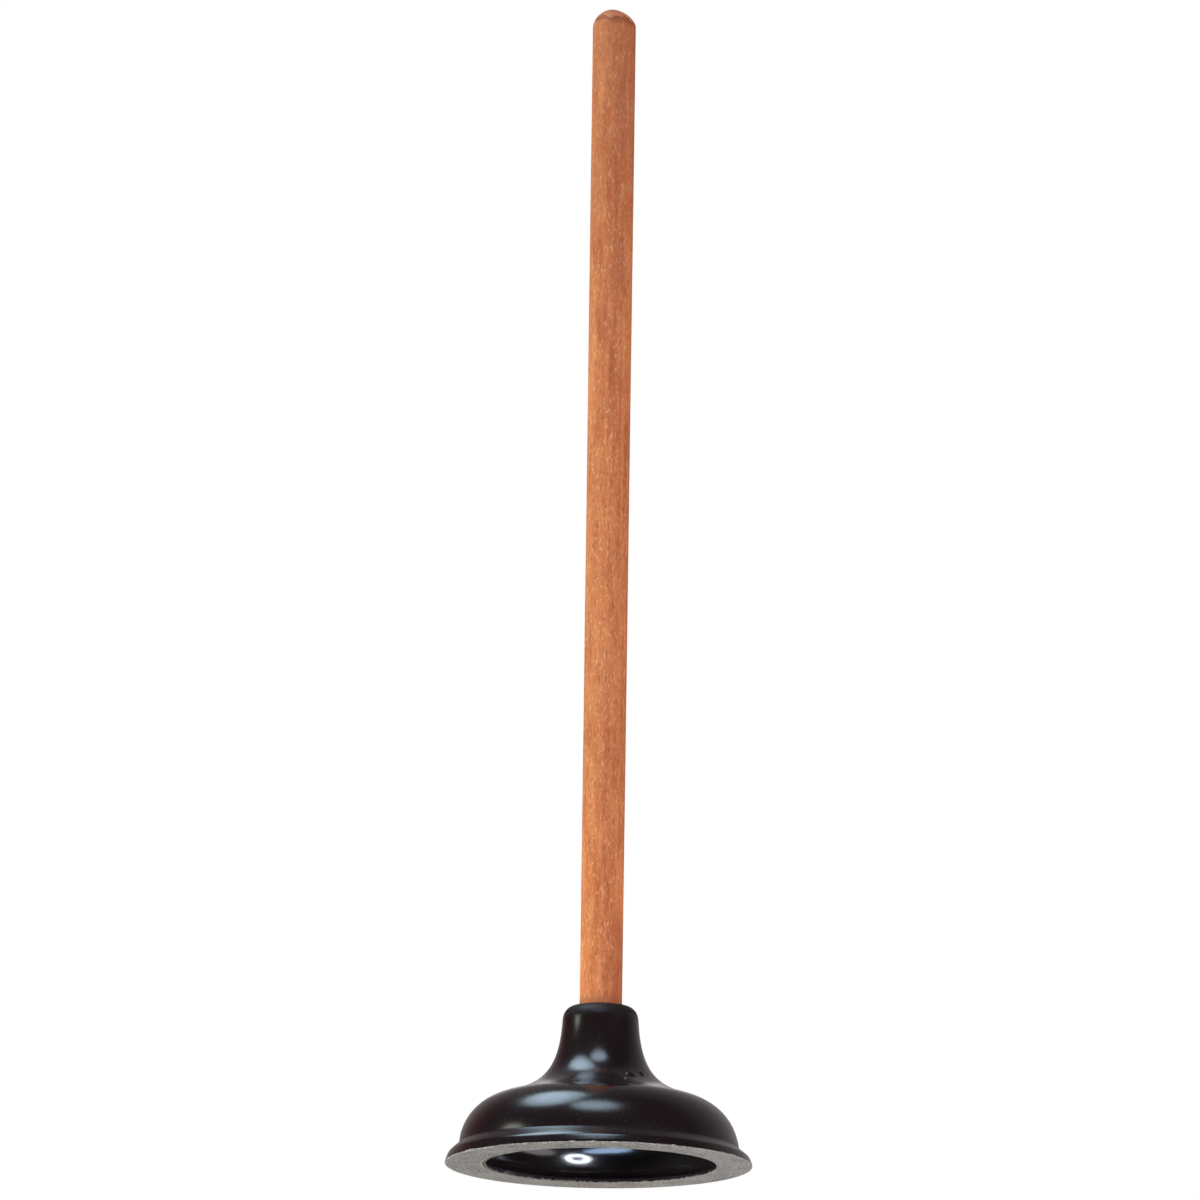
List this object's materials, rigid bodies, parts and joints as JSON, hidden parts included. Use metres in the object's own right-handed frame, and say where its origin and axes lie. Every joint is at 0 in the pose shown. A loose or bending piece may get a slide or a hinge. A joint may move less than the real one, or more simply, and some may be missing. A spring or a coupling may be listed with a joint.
{
  "type": "toilet plunger",
  "caption": "Force-cup plunger: black moulded rubber cup with a flared neck and a flat sealing lip, on a long straight wooden handle with a domed end.",
  "frame": {"origin": "centre of the cup's sealing face, which lies on z = 0 and is what the plunger stands on", "axes": "+Z along the handle, from the cup towards the domed end; X and Y are equivalent on this turned shape"},
  "size_m": [0.146, 0.146, 0.5583],
  "materials": {
    "black_rubber": "glossy moulded skin, with the sealing face ground to a matte grey",
    "stained_wood": "reddish-brown stain under satin lacquer, fine lengthwise pores and flecks",
    "zinc_plate": "bright zinc plate"
  },
  "bodies": {
    "cup": {"force_cup": "black_rubber"},
    "handle_set": {"handle": "stained_wood", "retaining_screw": "zinc_plate", "screw_washer": "zinc_plate"}
  },
  "joints": [
    {"name": "plunge_stroke", "type": "slide", "parent": "cup", "child": "handle_set", "axis": [0, 0, 1], "range_m": [-0.022, 0], "stiffness_N_per_m": 3000, "springref_m": 0.0006, "deforming": ["force_cup"]}
  ]
}
